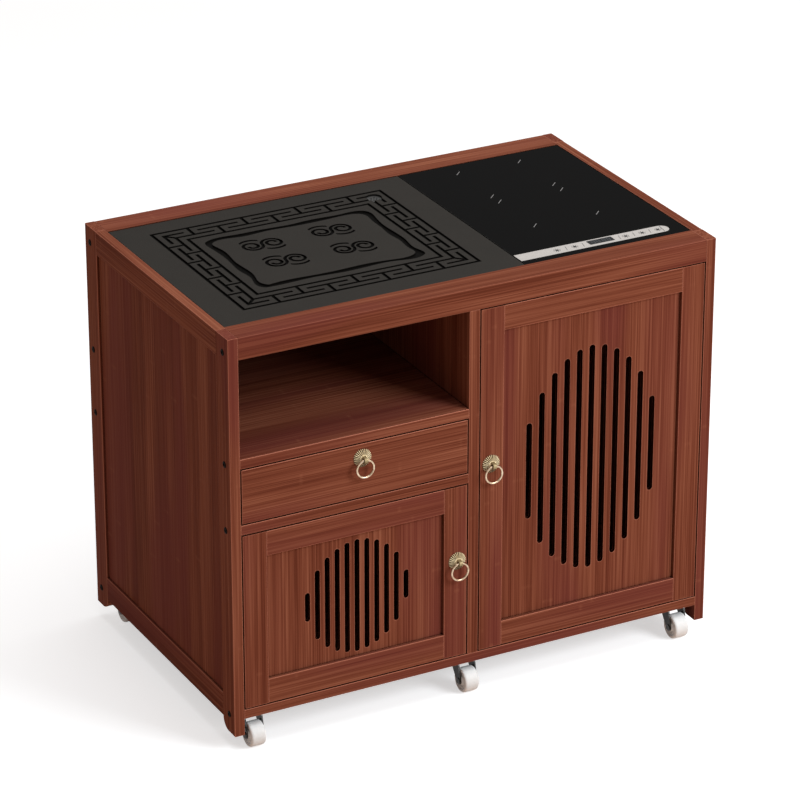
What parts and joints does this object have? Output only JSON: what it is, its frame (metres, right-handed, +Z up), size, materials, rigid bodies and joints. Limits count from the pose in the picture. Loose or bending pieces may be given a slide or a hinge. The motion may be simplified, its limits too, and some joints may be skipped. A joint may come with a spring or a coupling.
{
  "type": "gongfu tea table",
  "caption": "Rolling tea cabinet with carved stone tea tray, glass cooktop, open niche, drawer and slatted doors with ring pulls.",
  "frame": {"origin": "on the floor, under the middle of the whole object's box", "axes": "+X to the right seen from the front, +Y to the back, +Z up"},
  "size_m": [0.8024, 0.504, 0.657],
  "materials": {
    "cabinet_wood": "satin lacquer",
    "inner_board": "satin lacquer",
    "black_stone": "honed",
    "cooktop_glass": "polished opaque black glass-ceramic",
    "antique_brass": "satin",
    "black_bolts": "satin",
    "steel": "zinc plated",
    "caster_chrome": "bright",
    "wheel_nylon": "moulded",
    "magnet_case": "moulded",
    "drain_plastic": "moulded",
    "sheet_metal": "galvanised",
    "coil_copper": "enamelled wire",
    "board_green": "solder mask",
    "black_plastic": "moulded"
  },
  "bodies": {
    "carcass": {"left_front_post": "cabinet_wood", "left_rear_post": "cabinet_wood", "right_front_post": "cabinet_wood", "right_rear_post": "cabinet_wood", "left_side_rails": "cabinet_wood", "right_side_rails": "cabinet_wood", "left_side_panel": "cabinet_wood", "right_side_panel": "cabinet_wood", "front_top_rail": "cabinet_wood", "rear_top_rail": "cabinet_wood", "top_cross_bearer": "cabinet_wood", "centre_divider": "cabinet_wood", "shelf_board": "cabinet_wood", "mid_board": "cabinet_wood", "bottom_board": "cabinet_wood", "back_panel": "inner_board", "niche_ceiling": "inner_board", "frame_bolts": "black_bolts", "door_pivot_pins": "steel", "door_magnets": "magnet_case", "drawer_outer_runners": "steel", "caster_plates": "caster_chrome", "stone_tray": "black_stone", "tray_strainer": "steel", "drain_spigot": "drain_plastic", "cooktop_glass": "cooktop_glass", "cooktop_housing": "sheet_metal", "induction_coils": "coil_copper", "cooktop_control_board": "board_green", "fan_frame": "black_plastic", "power_inlet": "black_plastic"},
    "left_door": {"left_door_stiles": "cabinet_wood", "left_door_rails": "cabinet_wood", "left_door_panel": "cabinet_wood", "left_door_rosette": "antique_brass"},
    "right_door": {"right_door_stiles": "cabinet_wood", "right_door_rails": "cabinet_wood", "right_door_panel": "cabinet_wood", "right_door_rosette": "antique_brass"},
    "drawer": {"drawer_front": "cabinet_wood", "drawer_box_walls": "inner_board", "drawer_bottom": "inner_board", "drawer_inner_runners": "steel", "drawer_rosette": "antique_brass"},
    "fan_rotor": {"fan_rotor": "black_plastic"},
    "left_door_ring": {"left_door_ring": "antique_brass"},
    "right_door_ring": {"right_door_ring": "antique_brass"},
    "drawer_ring": {"drawer_ring": "antique_brass"},
    "front_left_fork": {"front_left_caster_fork": "caster_chrome"},
    "front_left_wheel": {"front_left_caster_wheel": "wheel_nylon"},
    "front_middle_fork": {"front_middle_caster_fork": "caster_chrome"},
    "front_middle_wheel": {"front_middle_caster_wheel": "wheel_nylon"},
    "front_right_fork": {"front_right_caster_fork": "caster_chrome"},
    "front_right_wheel": {"front_right_caster_wheel": "wheel_nylon"},
    "rear_left_fork": {"rear_left_caster_fork": "caster_chrome"},
    "rear_left_wheel": {"rear_left_caster_wheel": "wheel_nylon"},
    "rear_middle_fork": {"rear_middle_caster_fork": "caster_chrome"},
    "rear_middle_wheel": {"rear_middle_caster_wheel": "wheel_nylon"},
    "rear_right_fork": {"rear_right_caster_fork": "caster_chrome"},
    "rear_right_wheel": {"rear_right_caster_wheel": "wheel_nylon"}
  },
  "joints": [
    {"name": "left_door_hinge", "type": "hinge", "parent": "carcass", "child": "left_door", "pos_m": [-0.3775, -0.2335, 0.2075], "axis": [0, 0, -1], "range_deg": [0, 100]},
    {"name": "right_door_hinge", "type": "hinge", "parent": "carcass", "child": "right_door", "pos_m": [0.3775, -0.2335, 0.3445], "axis": [0, 0, 1], "range_deg": [0, 100]},
    {"name": "drawer_slide", "type": "slide", "parent": "carcass", "child": "drawer", "axis": [0, -1, 0], "range_m": [0, 0.3]},
    {"name": "fan_spin", "type": "hinge", "parent": "carcass", "child": "fan_rotor", "pos_m": [0.332, -0.1385, 0.596], "axis": [0, 0, 1], "continuous": true},
    {"name": "left_door_ring_swing", "type": "hinge", "parent": "left_door", "child": "left_door_ring", "pos_m": [-0.033, -0.2476, 0.226], "axis": [-1, 0, 0], "range_deg": [-12, 100]},
    {"name": "right_door_ring_swing", "type": "hinge", "parent": "right_door", "child": "right_door_ring", "pos_m": [0.0226, -0.2476, 0.3725], "axis": [-1, 0, 0], "range_deg": [-12, 100]},
    {"name": "drawer_ring_swing", "type": "hinge", "parent": "drawer", "child": "drawer_ring", "pos_m": [-0.18925, -0.2476, 0.42925], "axis": [-1, 0, 0], "range_deg": [-12, 100]},
    {"name": "front_left_swivel", "type": "hinge", "parent": "carcass", "child": "front_left_fork", "pos_m": [-0.365, -0.211, 0.048], "axis": [0, 0, 1], "range_deg": [-10, 190]},
    {"name": "front_left_roll", "type": "hinge", "parent": "front_left_fork", "child": "front_left_wheel", "pos_m": [-0.365, -0.229, 0.019], "axis": [1, 0, 0], "continuous": true},
    {"name": "front_middle_swivel", "type": "hinge", "parent": "carcass", "child": "front_middle_fork", "pos_m": [-0.01, -0.211, 0.048], "axis": [0, 0, 1], "continuous": true},
    {"name": "front_middle_roll", "type": "hinge", "parent": "front_middle_fork", "child": "front_middle_wheel", "pos_m": [-0.01, -0.229, 0.019], "axis": [1, 0, 0], "continuous": true},
    {"name": "front_right_swivel", "type": "hinge", "parent": "carcass", "child": "front_right_fork", "pos_m": [0.357, -0.211, 0.048], "axis": [0, 0, 1], "range_deg": [-220, 30]},
    {"name": "front_right_roll", "type": "hinge", "parent": "front_right_fork", "child": "front_right_wheel", "pos_m": [0.357, -0.229, 0.019], "axis": [1, 0, 0], "continuous": true},
    {"name": "rear_left_swivel", "type": "hinge", "parent": "carcass", "child": "rear_left_fork", "pos_m": [-0.365, 0.232, 0.048], "axis": [0, 0, 1], "range_deg": [-10, 190]},
    {"name": "rear_left_roll", "type": "hinge", "parent": "rear_left_fork", "child": "rear_left_wheel", "pos_m": [-0.365, 0.214, 0.019], "axis": [1, 0, 0], "continuous": true},
    {"name": "rear_middle_swivel", "type": "hinge", "parent": "carcass", "child": "rear_middle_fork", "pos_m": [-0.01, 0.232, 0.048], "axis": [0, 0, 1], "continuous": true},
    {"name": "rear_middle_roll", "type": "hinge", "parent": "rear_middle_fork", "child": "rear_middle_wheel", "pos_m": [-0.01, 0.214, 0.019], "axis": [1, 0, 0], "continuous": true},
    {"name": "rear_right_swivel", "type": "hinge", "parent": "carcass", "child": "rear_right_fork", "pos_m": [0.357, 0.232, 0.048], "axis": [0, 0, 1], "range_deg": [-210, 35]},
    {"name": "rear_right_roll", "type": "hinge", "parent": "rear_right_fork", "child": "rear_right_wheel", "pos_m": [0.357, 0.214, 0.019], "axis": [1, 0, 0], "continuous": true}
  ]
}
